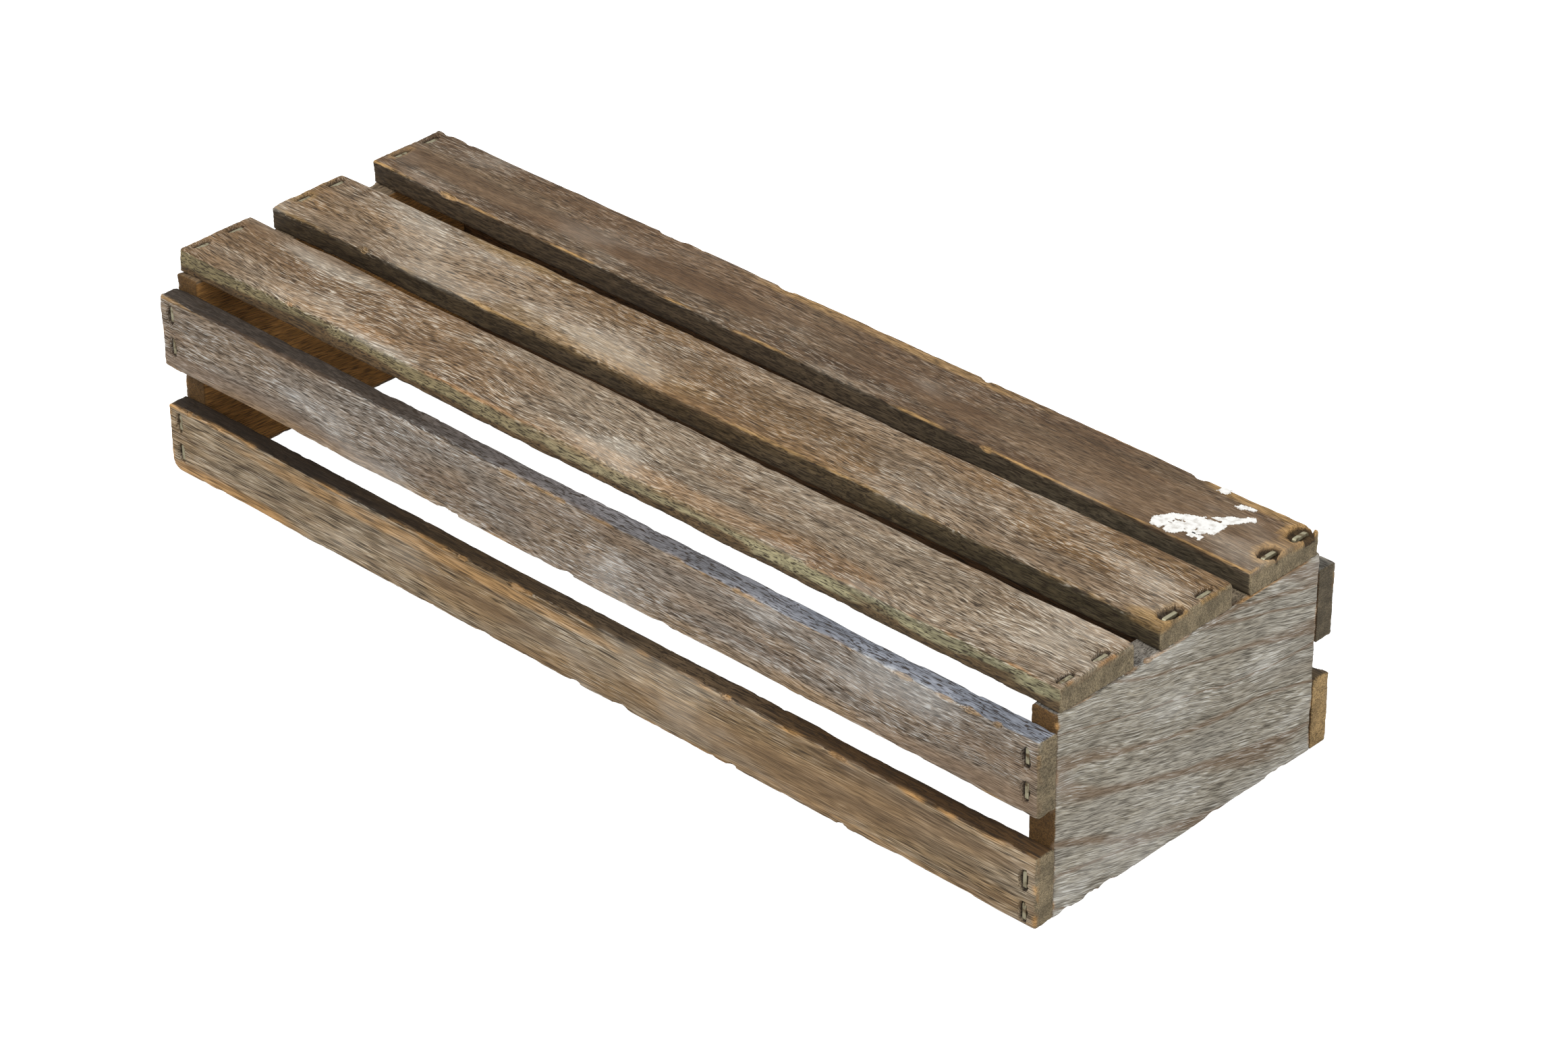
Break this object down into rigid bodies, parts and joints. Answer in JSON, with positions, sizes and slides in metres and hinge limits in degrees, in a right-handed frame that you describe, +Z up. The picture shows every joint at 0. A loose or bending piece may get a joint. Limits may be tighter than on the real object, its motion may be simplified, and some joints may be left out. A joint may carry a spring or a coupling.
{
  "type": "slatted wooden crate",
  "caption": "Small rustic crate with slatted sides and bottom between solid end panels, stapled together and standing upside down.",
  "frame": {"origin": "middle of the footprint, on the plane that the crate's open rim stands on", "axes": "+X along the crate to its right end panel, +Y from the front slats to the back slats, +Z up to the slatted bottom, which is on top as the crate stands"},
  "size_m": [0.34, 0.12, 0.071],
  "materials": {
    "top_slat_wood": "weathered, open-grained, brown stain with a thin pale wash",
    "side_slat_wood": "weathered, open-grained, grey-brown stain with a thin pale wash",
    "end_panel_wood": "weathered, open-grained, silver-grey wash over brown",
    "staple_wire": "dull zinc-coated wire, slightly tarnished"
  },
  "bodies": {
    "root": {"back_slat_lower": "side_slat_wood", "back_slat_upper": "side_slat_wood", "end_panel_left": "end_panel_wood", "end_panel_right": "end_panel_wood", "front_slat_lower": "side_slat_wood", "front_slat_upper": "side_slat_wood", "staple_back_lower_left_1": "staple_wire", "staple_back_lower_left_2": "staple_wire", "staple_back_lower_right_1": "staple_wire", "staple_back_lower_right_2": "staple_wire", "staple_back_upper_left_1": "staple_wire", "staple_back_upper_left_2": "staple_wire", "staple_back_upper_right_1": "staple_wire", "staple_back_upper_right_2": "staple_wire", "staple_front_lower_left_1": "staple_wire", "staple_front_lower_left_2": "staple_wire", "staple_front_lower_right_1": "staple_wire", "staple_front_lower_right_2": "staple_wire", "staple_front_upper_left_1": "staple_wire", "staple_front_upper_left_2": "staple_wire", "staple_front_upper_right_1": "staple_wire", "staple_front_upper_right_2": "staple_wire", "staple_top_front_left_1": "staple_wire", "staple_top_front_left_2": "staple_wire", "staple_top_front_right_1": "staple_wire", "staple_top_front_right_2": "staple_wire", "staple_top_middle_left_1": "staple_wire", "staple_top_middle_left_2": "staple_wire", "staple_top_middle_right_1": "staple_wire", "staple_top_middle_right_2": "staple_wire", "staple_top_rear_left_1": "staple_wire", "staple_top_rear_left_2": "staple_wire", "staple_top_rear_right_1": "staple_wire", "staple_top_rear_right_2": "staple_wire", "top_slat_front": "top_slat_wood", "top_slat_middle": "top_slat_wood", "top_slat_rear": "top_slat_wood"}
  },
  "joints": []
}
